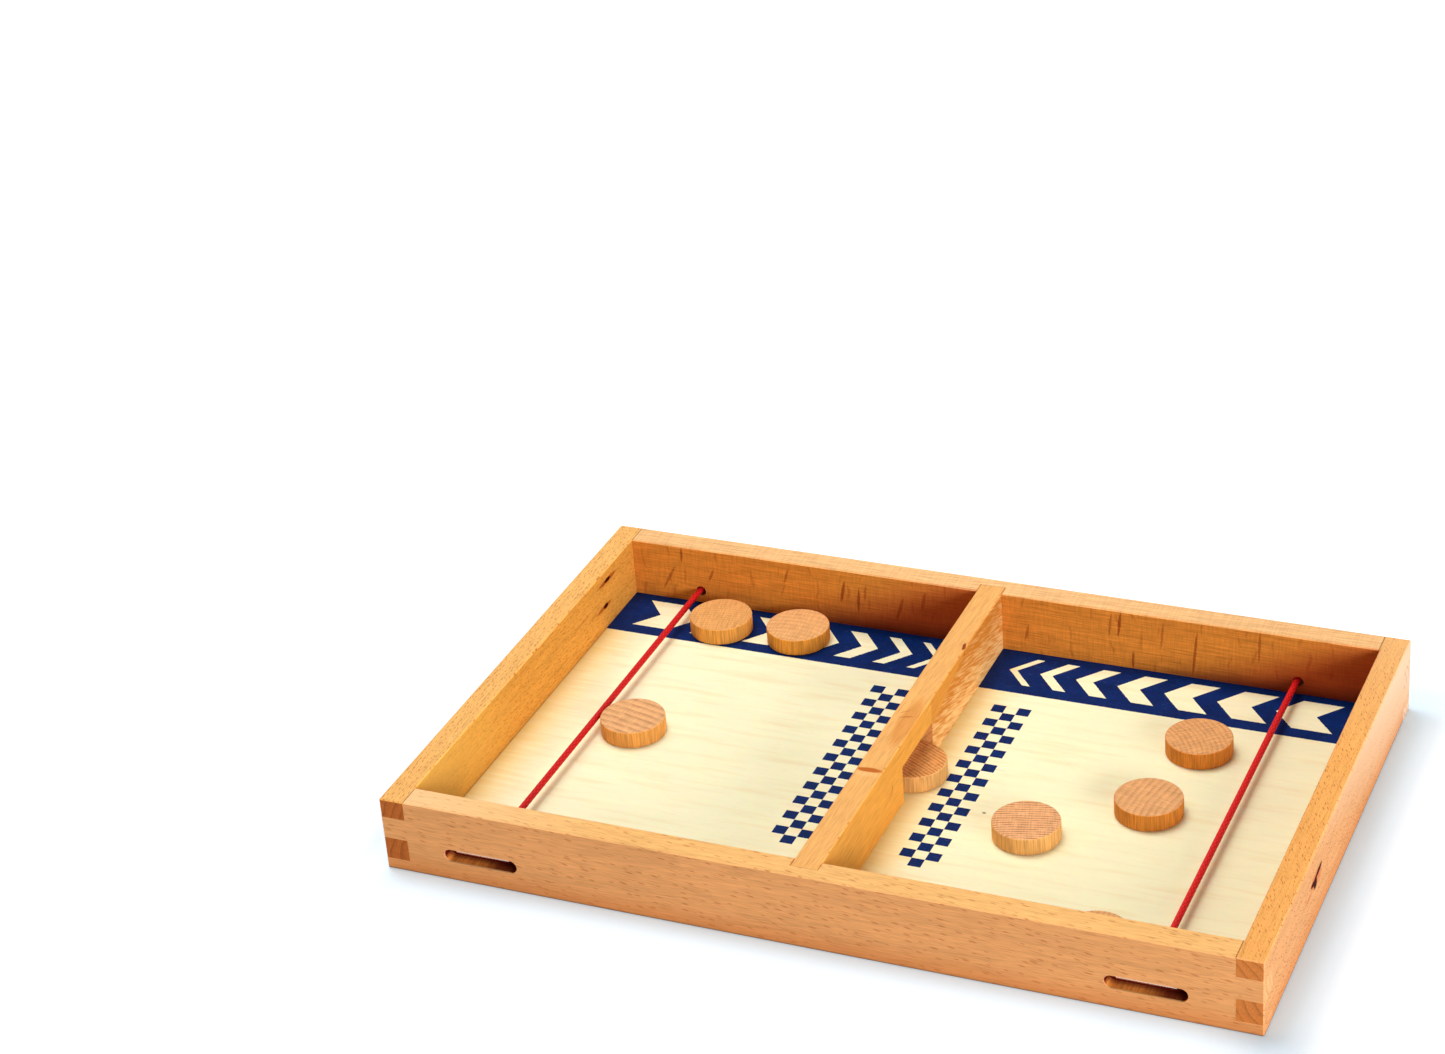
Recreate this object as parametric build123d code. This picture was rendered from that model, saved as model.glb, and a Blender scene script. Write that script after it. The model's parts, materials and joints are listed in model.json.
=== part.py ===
from build123d import *
import os

# Sling puck board: a finger-jointed tray with a gated divider, two elastics and loose pucks.
# Sizes are in millimetres. The origin is the centre of the underside, X runs along the board
# from its left end to its right end, Y from the front rail to the back rail, and Z up.

# Frame
board_length = 260.0
board_width = 168.0
rail_height = 24.0
long_rail_thickness = 8.2
end_rail_thickness = 7.6
arris = 0.35
glue_gap = 0.06
overrun = 2.0

# Corner fingers, from the underside up; the top finger takes the rest of the height
base_finger_height = 3.8
finger_height = 7.05

# Plywood floor, let into a groove round the four rails
floor_thickness = 3.0
floor_recess = 1.3
groove_depth = 3.4
floor_edge_gap = 0.3

# Pucks
puck_diameter = 20.0
puck_thickness = 5.5
puck_arris = 0.35
resting_gap = 0.3
settle_gap = 0.02

# Divider with its gate
divider_thickness = 8.1
dado_depth = 4.0
dado_end_gap = 0.1
gate_play = 5.3
gate_height = 11.8
gate_offset = -1.2

# Elastics, their bores and the slots that hold their ends
cord_diameter = 2.0
bore_diameter = 3.4
left_bore_inset = 31.0
right_bore_inset = 32.0
bore_rise = 4.2
cord_offset = -0.55
cord_gap = 0.3
slot_length = 23.2
slot_width = 4.2
slot_depth = 4.0
barb_diameter = 1.5
barb_length = 17.5
barb_tip_bevel = 0.4
barb_seat_gap = 0.05
neck_width = 1.8
neck_thickness = 1.2
neck_length = 1.0

# Places of the pucks, as shares of the room that a puck's centre has in its tray: along the
# board from the left end of that room, and across it from the front
left_tray_shares = [(0.0, 0.487), (0.03, 0.972)]
right_tray_shares = [(0.893, 0.777), (0.824, 0.51), (0.409, 0.346), (0.893, 0.0)]
gate_puck_share = 0.55
gate_puck_lead = 2.0
back_pair_gap = 6.2
back_pair_step = 0.9

floor_top = floor_recess + floor_thickness
bore_height = floor_top + bore_rise
inner_x = board_length / 2 - end_rail_thickness
inner_y = board_width / 2 - long_rail_thickness
divider_half = divider_thickness / 2
puck_radius = puck_diameter / 2
cord_radius = cord_diameter / 2
barb_radius = barb_diameter / 2
gate_width = puck_diameter + gate_play
left_bore_x = left_bore_inset - board_length / 2
right_bore_x = board_length / 2 - right_bore_inset
left_cord_x = left_bore_x + cord_offset
right_cord_x = right_bore_x + cord_offset

# The rows of the corner fingers as (bottom, top); the long rails own the first and the third
row_tops = [
    base_finger_height,
    base_finger_height + finger_height,
    base_finger_height + 2 * finger_height,
    rail_height,
]
rows = list(zip([0] + row_tops[:-1], row_tops))
long_rail_rows = rows[0::2]
end_rail_rows = rows[1::2]


def block(x_from, x_to, y_from, y_to, z_from, z_to):
    """A box given by its limits along the three axes."""
    size = (x_to - x_from, y_to - y_from, z_to - z_from)
    middle = ((x_from + x_to) / 2, (y_from + y_to) / 2, (z_from + z_to) / 2)
    return Pos(*middle) * Box(*size)


def sanded_ring():
    """The outline of the glued-up frame, with the arrises that are sanded round it."""
    outer = block(-board_length / 2, board_length / 2, -board_width / 2, board_width / 2, 0, rail_height)
    outer = chamfer(outer.edges(), arris)
    well = block(-inner_x, inner_x, -inner_y, inner_y, -overrun, rail_height + overrun)
    ring = outer - well
    brim = ring.faces().sort_by(Axis.Z)[-1]
    return chamfer(brim.inner_wires()[0].edges(), arris)


def floor_groove():
    """The space that the rails leave for the edges of the floor panel."""
    reach_x = inner_x + groove_depth
    reach_y = inner_y + groove_depth
    return block(-reach_x, reach_x, -reach_y, reach_y, floor_recess, floor_top)


def elastic_slot(bore_x):
    """The pocket and the bore of one elastic end, cut from the outside of the front rail."""
    face_y = -board_width / 2
    outline = SlotOverall(slot_length, slot_width)
    mouth = Plane((bore_x, face_y, bore_height), x_dir=(1, 0, 0), z_dir=(0, -1, 0))
    pocket = extrude(mouth * outline, amount=slot_depth, both=True)
    bore = extrude(mouth * Circle(bore_diameter / 2), amount=-(long_rail_thickness + overrun))
    return pocket + bore


def long_rail():
    """The front rail: fingers at both ends, a dado for the divider, the groove and the slots."""
    outer_y = -board_width / 2
    rail = block(-board_length / 2, board_length / 2, outer_y, -inner_y, 0, rail_height) & sanded_ring()
    shoulder_x = inner_x - glue_gap
    for bottom, top in end_rail_rows:
        for side in (-1, 1):
            ends = sorted([side * shoulder_x, side * (board_length / 2 + overrun)])
            rail -= block(*ends, outer_y - overrun, -inner_y + overrun, bottom, top)
    dado_half = divider_half + glue_gap
    dado_y = -inner_y - dado_depth
    rail -= block(-dado_half, dado_half, dado_y, -inner_y + overrun, floor_top, rail_height + overrun)
    rail -= floor_groove()
    for bore_x in (left_bore_x, right_bore_x):
        rail -= elastic_slot(bore_x)
    return rail


def end_rail():
    """The left rail: fingers that run through the long rails, and the groove."""
    outer_x = -board_length / 2
    rail = block(outer_x, -inner_x, -board_width / 2, board_width / 2, 0, rail_height) & sanded_ring()
    shoulder_y = inner_y - glue_gap
    for bottom, top in long_rail_rows:
        for side in (-1, 1):
            ends = sorted([side * shoulder_y, side * (board_width / 2 + overrun)])
            rail -= block(outer_x - overrun, -inner_x + overrun, *ends, bottom, top)
    return rail - floor_groove()


def floor_panel():
    """The plywood floor, a little smaller than its groove."""
    reach_x = inner_x + groove_depth - floor_edge_gap
    reach_y = inner_y + groove_depth - floor_edge_gap
    return block(-reach_x, reach_x, -reach_y, reach_y, floor_recess, floor_top)


def centre_divider():
    """The wall between the trays, housed in the dadoes, with the gate cut from its lower edge."""
    reach_y = inner_y + dado_depth - dado_end_gap
    wall = block(-divider_half, divider_half, -reach_y, reach_y, floor_top, rail_height)
    ridges = wall.faces().sort_by(Axis.Z)[-1].edges().filter_by(Axis.Y)
    wall = chamfer(ridges, arris)
    cut_x = divider_half + overrun
    gate_from = gate_offset - gate_width / 2
    gate_to = gate_offset + gate_width / 2
    return wall - block(-cut_x, cut_x, gate_from, gate_to, floor_top - overrun, floor_top + gate_height)


def puck(x, y):
    """A turned wooden disc lying on the floor."""
    disc = Cylinder(puck_radius, puck_thickness)
    disc = chamfer(disc.edges().filter_by(GeomType.CIRCLE), puck_arris)
    return Pos(x, y, floor_top + settle_gap + puck_thickness / 2) * disc


def cord(x, y_from, y_to):
    """A straight stretch of elastic along Y with flat ends."""
    length = y_to - y_from
    return Pos(x, y_from + length / 2, bore_height) * Rot(90, 0, 0) * Cylinder(cord_radius, length)


def elastic_half(x):
    """The front half of an elastic's free span, with a round end where it turns at the bore."""
    pivot_y = -inner_y + cord_gap + cord_radius
    return cord(x, pivot_y, -cord_gap / 2) + Pos(x, pivot_y, bore_height) * Sphere(cord_radius)


def barb(x):
    """The metal bar across the end of an elastic, with the neck that grips the cord."""
    bar = Rot(0, 90, 0) * Cylinder(barb_radius, barb_length)
    bar = chamfer(bar.edges().filter_by(GeomType.CIRCLE), barb_tip_bevel)
    neck_half = neck_width / 2
    neck = block(-neck_half, neck_half, 0, barb_radius + neck_length, -neck_thickness / 2, neck_thickness / 2)
    return Pos(x, barb_y(), bore_height) * (bar + neck)


def barb_y():
    """The bar lies against the bottom of its slot."""
    return -board_width / 2 + slot_depth - barb_radius - barb_seat_gap


def elastic_end(x):
    """The stretch of an elastic inside the bore, from the barb's neck to the bore's mouth."""
    return cord(x, barb_y() + barb_radius + neck_length, -inner_y)


def puck_places():
    """The eight puck centres as the game stands in play, three left, one in the gate, four right."""
    stand_off = puck_radius + resting_gap
    reach_y = inner_y - stand_off
    rooms = [
        (left_cord_x + cord_radius + stand_off, -divider_half - stand_off, left_tray_shares),
        (divider_half + stand_off, right_cord_x - cord_radius - stand_off, right_tray_shares),
    ]
    left_places, right_places = [
        [(start + share_x * (end - start), reach_y * (2 * share_y - 1)) for share_x, share_y in shares]
        for start, end, shares in rooms
    ]
    pair_x, pair_y = left_places[-1]
    left_places.append((pair_x + puck_diameter + back_pair_gap, pair_y + back_pair_step))
    gate_room = (gate_width - puck_diameter) / 2
    gate_place = (gate_puck_lead, gate_offset + gate_puck_share * gate_room)
    return left_places + [gate_place] + right_places


front = long_rail()
left = end_rail()
nodes = {
    "front_rail": front,
    "back_rail": mirror(front, about=Plane.XZ),
    "left_rail": left,
    "right_rail": mirror(left, about=Plane.YZ),
    "floor_panel": floor_panel(),
    "centre_divider": centre_divider(),
}
for number, place in enumerate(puck_places(), start=1):
    nodes[f"puck_{number}"] = puck(*place)
for side_name, cord_x in (("left", left_cord_x), ("right", right_cord_x)):
    pieces = {
        "elastic": elastic_half(cord_x),
        "elastic_end": elastic_end(cord_x),
        "barb": barb(cord_x),
    }
    for piece_name, piece in pieces.items():
        nodes[f"{piece_name}_{side_name}_front"] = piece
        nodes[f"{piece_name}_{side_name}_back"] = mirror(piece, about=Plane.XZ)

os.makedirs("parts", exist_ok=True)
for name, shape in nodes.items():
    export_step(shape, f"parts/{name}.step")
print(f"wrote {len(nodes)} nodes")
for number, place in enumerate(puck_places(), start=1):
    print(f"puck_{number} at {place[0]:.2f}, {place[1]:.2f}")
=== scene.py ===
"""Sling puck game: the beech, ply, ink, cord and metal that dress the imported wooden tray."""
import json
import math

import bpy
import numpy as np
from bpy.props import FloatProperty, FloatVectorProperty, IntProperty, PointerProperty
from mathutils import Matrix, Vector

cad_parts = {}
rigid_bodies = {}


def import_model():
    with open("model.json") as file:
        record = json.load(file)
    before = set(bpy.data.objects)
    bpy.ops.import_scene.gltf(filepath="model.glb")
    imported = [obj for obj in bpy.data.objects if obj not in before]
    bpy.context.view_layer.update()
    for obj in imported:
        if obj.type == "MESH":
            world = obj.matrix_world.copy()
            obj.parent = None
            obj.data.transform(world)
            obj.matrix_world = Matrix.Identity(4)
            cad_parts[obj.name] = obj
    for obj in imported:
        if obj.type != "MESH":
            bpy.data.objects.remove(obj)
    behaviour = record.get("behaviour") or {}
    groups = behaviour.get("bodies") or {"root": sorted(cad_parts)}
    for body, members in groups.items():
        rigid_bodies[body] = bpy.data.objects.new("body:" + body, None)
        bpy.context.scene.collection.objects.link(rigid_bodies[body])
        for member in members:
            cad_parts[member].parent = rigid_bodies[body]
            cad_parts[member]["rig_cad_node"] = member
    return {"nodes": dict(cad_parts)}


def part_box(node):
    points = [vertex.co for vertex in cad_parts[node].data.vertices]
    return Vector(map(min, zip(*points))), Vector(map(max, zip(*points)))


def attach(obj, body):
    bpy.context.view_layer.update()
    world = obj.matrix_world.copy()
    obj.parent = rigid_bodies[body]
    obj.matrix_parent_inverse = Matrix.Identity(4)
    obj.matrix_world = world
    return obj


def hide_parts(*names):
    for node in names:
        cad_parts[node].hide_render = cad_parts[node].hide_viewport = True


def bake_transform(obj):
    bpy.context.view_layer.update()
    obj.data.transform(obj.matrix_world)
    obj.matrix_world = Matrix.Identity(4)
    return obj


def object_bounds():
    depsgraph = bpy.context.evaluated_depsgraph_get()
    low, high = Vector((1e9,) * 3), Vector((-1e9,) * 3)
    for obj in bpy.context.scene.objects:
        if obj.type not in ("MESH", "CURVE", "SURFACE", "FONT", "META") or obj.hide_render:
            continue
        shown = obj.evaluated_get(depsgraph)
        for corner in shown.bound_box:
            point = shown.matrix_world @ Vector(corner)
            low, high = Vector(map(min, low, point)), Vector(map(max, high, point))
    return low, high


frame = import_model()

bl_info = {
    "name": "Sling Puck Game",
    "version": (1, 0, 0),
    "blender": (4, 5, 0),
    "location": "3D View > Sidebar > Puck Game",
    "description": "Dresses a wooden sling puck game in beech, birch ply, screen ink, braided cord and steel",
    "category": "Object",
}

CAD_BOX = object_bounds()
MM = 0.001
IN_MM = (1 / MM, 1 / MM, 1 / MM)
LOW, HIGH = 0, 1
X, Y, Z = 0, 1, 2
# Most of a noise's values lie between these
MOST = (0.3, 0.7)
CORNERS = [(side, end) for side in ("left", "right") for end in ("front", "back")]
FACES = {"top": "Top", "side": "Upright faces", "end": "End grain"}
# The colours of each beech piece, in the order of those faces; the upright faces are darker and redder than the tops
# partly as painted shade
BEECH = {
    "front_rail": ("#F8C079", "#E9A86D", "#F0B27C"),
    "back_rail": ("#FBC68A", "#E2903C", "#F2C9A8"),
    "left_rail": ("#F6BC70", "#E7A348", "#B56631"),
    "right_rail": ("#F6B062", "#E6AA74", "#CC7D40"),
    "centre_divider": ("#F5B76E", "#F2AD4E", "#E0A060"),
}


def edge(node, end, axis):
    """Where a CAD node starts (LOW) or ends (HIGH) along an axis, in mm."""
    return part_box(node)[end][axis] / MM


def linear(colour):
    """Turn an sRGB hex colour such as "#F5BC70" into linear red, green and blue."""
    parts = np.array([int(colour[i:i + 2], 16) / 255 for i in (1, 3, 5)])
    return tuple(np.where(parts <= 0.04045, parts / 12.92, ((parts + 0.055) / 1.055) ** 2.4))


def colour_prop(name, description, colour):
    """A colour that the sidebar shows, with its default given as sRGB hex."""
    return FloatVectorProperty(
        name=name, description=description, default=linear(colour), size=3, min=0, max=1, subtype="COLOR"
    )


def length_prop(name, description, default_mm):
    """A length that the sidebar shows, with its default given in millimetres."""
    return FloatProperty(
        name=name, description=description, default=default_mm * MM, min=0, unit="LENGTH", precision=5
    )


def angle_prop(name, description, degrees):
    """An angle that the sidebar shows, with its default given in degrees."""
    return FloatProperty(name=name, description=description, default=math.radians(degrees), unit="ROTATION")


def amount_prop(name, description, default):
    """A plain amount that the sidebar shows, never below zero."""
    return FloatProperty(name=name, description=description, default=default, min=0)


class FrameTimber(bpy.types.PropertyGroup):
    """Colours of the five beech pieces, each cut from its own board."""

    __annotations__ = {
        f"{board}_{face}": colour_prop(
            f"{board} {face}".replace("_", " ").capitalize(), f"{text} of the {board}".replace("_", " "), colour
        )
        for board, colours in BEECH.items() for (face, text), colour in zip(FACES.items(), colours)
    }


class PrintedFloor(bpy.types.PropertyGroup):
    """Colours and sizes of the birch ply floor and its screen print."""

    birch: colour_prop("Birch face", "Lacquered birch face veneer", "#FFF9D2")
    ink: colour_prop("Ink", "Navy screen ink", "#04225A")
    band_width: length_prop("Band width", "From the long rail to the edge of the band", 23.9)
    chevron_centre: length_prop("Chevron centre", "From the long rail to the chevrons' tips", 11.3)
    chevron_half_height: length_prop("Chevron half height", "From the tip's line to the end of an arm", 7.8)
    chevron_lean: length_prop("Chevron lean", "How far an arm runs along the band", 6.6)
    check_square: length_prop("Check square", "Side of one square of the checked strips", 4.0)


class PuckTurning(bpy.types.PropertyGroup):
    """Sizes of the turned pucks; their outline comes from the frame."""

    arris: length_prop("Arris", "Radius of the sanded edge", 0.45)
    segments: IntProperty(name="Segments", description="Faces around a puck", default=96, min=24, max=256)


class ElasticBraid(bpy.types.PropertyGroup):
    """Sizes and colour of the braided elastic cords."""

    red: colour_prop("Red", "Dyed yarn of the braid", "#EA2022")
    diameter: length_prop("Diameter", "Across the braid", 2.0)
    relief: length_prop("Relief", "Height of a yarn above the gaps", 0.07)
    yarn_step: length_prop("Yarn step", "Length along the cord of one crossing", 1.15)
    yarns: IntProperty(name="Yarns", description="Yarns each way around the cord", default=6, min=3, max=24)
    middle_lap: length_prop("Middle lap", "How far each half runs past the middle", 1.87)


class StudioSetup(bpy.types.PropertyGroup):
    """The camera, measured from the photograph, and the plain soft light."""

    azimuth: angle_prop("Azimuth", "Camera's turn round the game", 25.2826)
    elevation: angle_prop("Elevation", "Camera's height angle", 28.8073)
    roll: angle_prop("Roll", "Camera's tilt to the side", -4.6353)
    distance: length_prop("Distance", "From the camera to the point it looks at", 1120.53)
    lens: amount_prop("Lens", "Focal length in mm on a 36 mm sensor", 81.829)
    softbox: amount_prop("Softbox", "Power of the overhead softbox in watts", 10.6)
    side_fill: amount_prop("Side fill", "Power of the fill on the right in watts", 18.2)
    left_panel: amount_prop("Left panel", "Power of the wide left light in watts", 4.0)
    ambient: amount_prop("Ambient", "Strength of the light from all round", 0.155)
    air: colour_prop("Air", "Colour of the light from all round, warmed by the wood about it", "#FFE4C4")
    # The blue of the table close to the game, which is painted shade
    table_shade_tint: colour_prop("Table tint", "Slight blue of the white table", "#D2ECFF")
    table_lift: amount_prop("Table lift", "How far the table glows to the camera", 0.3)


def nodes_of(tree):
    """Empty a node tree and return the function that adds its nodes."""
    tree.nodes.clear()

    def add(kind, *inputs, out=0, named=None, **settings):
        """Add a shader node with its settings, fill or link its inputs in order or by name, and return one output."""
        node = tree.nodes.new("ShaderNode" + kind)
        for key, value in settings.items():
            setattr(node, key, value)
        for key, value in [*enumerate(inputs), *(named or {}).items()]:
            if isinstance(value, bpy.types.NodeSocket):
                tree.links.new(value, node.inputs[key])
            elif value is not None:
                node.inputs[key].default_value = value
        return node.outputs[out] if node.outputs else None

    return add


def new_material(name):
    """An empty node material, and the function that adds its nodes."""
    material = bpy.data.materials.new(name)
    material.use_nodes = True
    return material, nodes_of(material.node_tree)


def new_object(name, data):
    """A new object in the scene, with its data."""
    thing = bpy.data.objects.new(name, data)
    bpy.context.scene.collection.objects.link(thing)
    return thing


def give(piece, material):
    """Put a material on every slot of a piece, adding a slot where it has none."""
    if not piece.material_slots:
        piece.data.materials.append(material)
    for place in piece.material_slots:
        place.material = material


def rgba(colour):
    """Three colour parts with full opacity; a socket stays as it is."""
    return colour if isinstance(colour, bpy.types.NodeSocket) else (*colour, 1.0)


def dimmed(add, colour, *depths):
    """A colour made darker or lighter by each of several depths in turn."""
    for depth in depths:
        colour = add("VectorMath", colour, None, None, depth, operation="SCALE")
    return colour


def stained(add, colour, stain, *shares):
    """A colour with a stain over it, as strong as the product of several shares."""
    cover = shares[0]
    for share in shares[1:]:
        cover = add("Math", cover, share, operation="MULTIPLY")
    return add("Mix", cover, *[None] * 5, rgba(colour), rgba(stain), out=2, data_type="RGBA")


def mottle(add, place, blot, detail=2.0, run=None):
    """Soft clouding between 0 and 1, with blots of the three given lengths in mm. With a run, the part where most of it
    lies goes from the run's first number to its second."""
    spread = add("VectorMath", place, tuple(1 / length for length in blot), operation="MULTIPLY")
    cloud = add("TexNoise", spread, named={"Scale": 1.0, "Detail": detail})
    return add("MapRange", cloud, *MOST, *run) if run else cloud


def kept_where(add, value, *tests):
    """A value where every test holds and 0 elsewhere; a test is a number, its limit and how the two compare."""
    for number, limit, comparison in tests:
        value = add("Math", value, add("Math", number, limit, operation=comparison), operation="MULTIPLY")
    return value


def looking(add, facing, axis):
    """1 on the faces that look along an axis and 0 on the others, changing softly over the arrises between them."""
    return add("MapRange", facing[axis], 0.6, 0.8)


def growth_rings(add, log, across, blot, wander, step):
    """Growth rings round a log's pith: how far a point is from one ring to the next, 0 to 1. across leaves out the
    log's own direction, and the rings wander off their circles by up to that many mm in blots of the given size."""
    reach = add("VectorMath", log, across, operation="MULTIPLY")
    reach = add("VectorMath", reach, out="Value", operation="LENGTH")
    reach = add("Math", mottle(add, log, blot), wander, reach, operation="MULTIPLY_ADD")
    return add("Math", add("Math", reach, step, operation="DIVIDE"), operation="FRACT")


def spindles(add, sheet, cell, half_size, kept):
    """Dashes scattered one to a cell over a flat sheet in mm: 1 inside an ellipse of that half size round each cell's
    point and 0 outside. Dashes differ in size, and only the share called kept is there."""
    spread = add("VectorMath", sheet, (1 / cell[0], 1 / cell[1], 1.0), operation="MULTIPLY")
    scatter = add("TexVoronoi", spread, named={"Scale": 1.0, "Randomness": 0.95}, voronoi_dimensions="2D").node
    away = add("VectorMath", spread, scatter.outputs["Position"], operation="SUBTRACT")
    near = add("VectorMath", away, (cell[0] / half_size[0], cell[1] / half_size[1], 0.0), operation="MULTIPLY")
    far = add("VectorMath", near, out="Value", operation="LENGTH")
    chance, chance_of_size, _ = add("SeparateColor", scatter.outputs["Color"]).node.outputs
    size = add("MapRange", chance_of_size, 0.0, 1.0, 0.6, 1.25)
    inside = add("MapRange", add("Math", far, size, operation="DIVIDE"), 0.5, 1.0, 1.0, 0.0)
    return kept_where(add, inside, (chance, kept, "LESS_THAN"))


def spot(add, place, centre, half_size, lean=(0, 0, 0)):
    """One mark on a board: 1 inside a leaning ellipsoid round its centre, all in mm, fading to 0 at its edge."""
    near = add("Mapping", place, centre, lean, half_size, vector_type="TEXTURE")
    far = add("VectorMath", near, out="Value", operation="LENGTH")
    return add("MapRange", far, 0.57, 0.88, 1.0, 0.0)


def off_line(add, value, line, half_width):
    """1 on a line drawn at one value of a coordinate, fading to 0 at its half width, all in mm."""
    off = add("Math", add("Math", value, line, operation="SUBTRACT"), operation="ABSOLUTE")
    return add("MapRange", off, half_width * 0.6, half_width * 1.1, 1.0, 0.0)


def within(add, value, low, high, fade):
    """1 between two values of a coordinate and 0 outside them, with soft edges of the given width, all in mm."""
    rising = add("MapRange", value, low - fade, low)
    falling = add("MapRange", value, high, high + fade, 1.0, 0.0)
    return add("Math", rising, falling, operation="MULTIPLY")


def beech(name, top, side, end, turned, lie, pith, lean=0.0, rays=(), curl=0.0, extras=()):
    """Steamed beech, planed and clear-lacquered: close grained, golden on top and redder on its sides, which is partly
    painted shade, with fine darker fibres, short dark flecks where its wide rays are cut, browner end grain with the
    growth rings as thin arcs, and paler arrises, partly a painted highlight.
    Lengths are in mm. Each ray is (cell, half size, share kept, strength, colour), and each extra is a function of add,
    the place, its three coordinates, the facing and the colour that returns a new colour."""
    material, add = new_material(name)
    place = add("Mapping", add("TexCoord", out="Object"), None, None, IN_MM)
    facing = add("SeparateXYZ", add("TexCoord", out="Normal")).node.outputs
    log = add("Mapping", place, None, (0, 0, -math.pi / 2 if turned else 0))
    log = add("Mapping", log, (0, 0, pith), lie)
    at = add("SeparateXYZ", place).node.outputs
    along, beside = (at[Y], at[X]) if turned else (at[X], at[Y])
    is_top = looking(add, facing, Z)
    is_side = add("Math", 1.0, is_top, operation="SUBTRACT")
    across = add("Mix", is_top, None, at[Z], beside)
    sheet = add("Mapping", add("CombineXYZ", along, across, 0.0), None, (0, 0, lean))

    ring = growth_rings(add, log, (0, 1, 1), blot=(75, 15, 15), wander=7.0, step=2.6)
    late = add("Math", ring, 4.0, operation="POWER")
    fibre = mottle(add, log, (8, 0.32, 0.32), 3.0)
    blotch = mottle(add, log, (42, 9, 9), 3.0)
    # The upright faces take their own colour, partly painted shade
    colour = dimmed(
        add, stained(add, side, top, is_top),
        add("MapRange", fibre, *MOST, 0.84, 1.1),
        mottle(add, log, (26, 1.1, 1.1), run=(0.965, 1.03)),
        add("MapRange", blotch, *MOST, 0.95, 1.04),
        add("MapRange", late, 0.0, 1.0, 1.0, 0.93),
    )
    for cell, half_size, kept, strength, fleck in rays:
        colour = stained(add, colour, linear(fleck), spindles(add, sheet, cell, half_size, kept), strength)
    if curl:
        sway = mottle(add, place, (12, 12, 9), run=(-1.1, 1.1))
        bent = add("VectorMath", sheet, add("CombineXYZ", sway))
        curls = spindles(add, bent, (7.5, 9.0), (0.55, 3.6), 0.7)
        colour = stained(add, colour, linear("#8A2A08"), curls, is_side, curl)
        hatch = mottle(add, log, (0.55, 30, 5), run=(0.9, 1.08))
        colour = dimmed(add, colour, hatch, mottle(add, log, (16, 0.42, 0.42), run=(0.86, 1.1)))
    end_pores = mottle(add, log, (9, 0.3, 0.9), run=(0.82, 1.12))
    sawn = dimmed(add, end, add("MapRange", late, 0.0, 1.0, 1.1, 0.7), end_pores)
    end_on = add("Math", facing[Y if turned else X], operation="ABSOLUTE")
    colour = stained(add, colour, sawn, add("MapRange", end_on, 0.7, 0.8))
    for extra in extras:
        colour = extra(add, place, at, facing, colour)
    # Paler on the arrises, partly sanding wear and partly a painted highlight
    flat_on = add("VectorMath", add("TexCoord", out="Normal"), operation="ABSOLUTE")
    flattest, *others = add("SeparateXYZ", flat_on).node.outputs
    for other in others:
        flattest = add("Math", flattest, other, operation="MAXIMUM")
    colour = dimmed(add, colour, add("MapRange", flattest, 0.75, 0.95, 1.12, 1.0))
    bump = add("Bump", named={"Strength": 0.35, "Distance": 0.04 * MM, "Height": fibre})
    add("OutputMaterial", add("BsdfPrincipled", named={
        "Base Color": colour, "Roughness": add("MapRange", blotch, *MOST, 0.44, 0.58), "IOR": 1.5,
        "Normal": bump, "Specular IOR Level": 0.01,
    }))
    return material


def glue_lines(add, place, at, facing, colour):
    """Thin dark glue lines on a long rail's top, where its shoulders meet the end rails and its dado the divider, and
    down the back rail's outer left corner, where the squeezed-out glue runs a little wide."""
    reach = add("Math", at[X], operation="ABSOLUTE")
    depth = add("Math", at[Y], operation="ABSOLUTE")
    is_top = looking(add, facing, Z)
    glue = linear("#5E2E12")
    shoulder = edge("right_rail", LOW, X)
    colour = stained(add, colour, glue, off_line(add, reach, shoulder, 0.32), is_top, 0.75)
    in_dado = within(add, depth, 0.0, edge("centre_divider", HIGH, Y), 0.2)
    dado_side = off_line(add, reach, edge("centre_divider", HIGH, X), 0.28)
    colour = stained(add, colour, glue, dado_side, in_dado, is_top, 0.45)
    ragged = mottle(add, place, (0.8, 0.8, 1.4), 3.0, (-0.35, 0.35))
    corner = off_line(add, add("Math", at[X], ragged), -shoulder, 0.42)
    outer_face = edge("back_rail", HIGH, Y)
    outside = within(add, at[Y], outer_face - 0.5, outer_face + 0.5, 0.1)
    return stained(add, colour, glue, corner, outside, 0.85)


def orange_foot_and_painted_shadow(add, place, at, facing, colour):
    """The lower edge of an outer face, a little more orange towards the bottom, and grey along the arris it stands on,
    where a contact shadow is painted."""
    run = add("MapRange", at[Z], 7.0, 0.0)
    is_side = add("Math", 1.0, looking(add, facing, Z), operation="SUBTRACT")
    colour = stained(add, colour, linear("#E0803A"), run, is_side, 0.45)
    # Painted contact shadow: grey along the lowest arris
    painted_contact_shadow = add("MapRange", at[Z], 0.9, 0.4)
    return stained(add, colour, linear("#6A6258"), painted_contact_shadow, 0.7)


def paler_tone_and_painted_light(side, towards, start, stop, share, tint):
    """A board that turns paler towards one end: from start to stop in mm along a direction, on its faces that look one
    way (side is that axis, towards the direction), up to the given share of a tint. On the left rail's inner face and
    the right rail's outer face this is painted light; on the tops it is the wood's tone."""

    def drawn(add, place, at, facing, colour):
        reach = add("VectorMath", place, towards, out="Value", operation="DOT_PRODUCT")
        pale = add("MapRange", reach, start, stop, 0.0, share)
        return stained(add, colour, linear(tint), pale, looking(add, facing, side))

    return drawn


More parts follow.
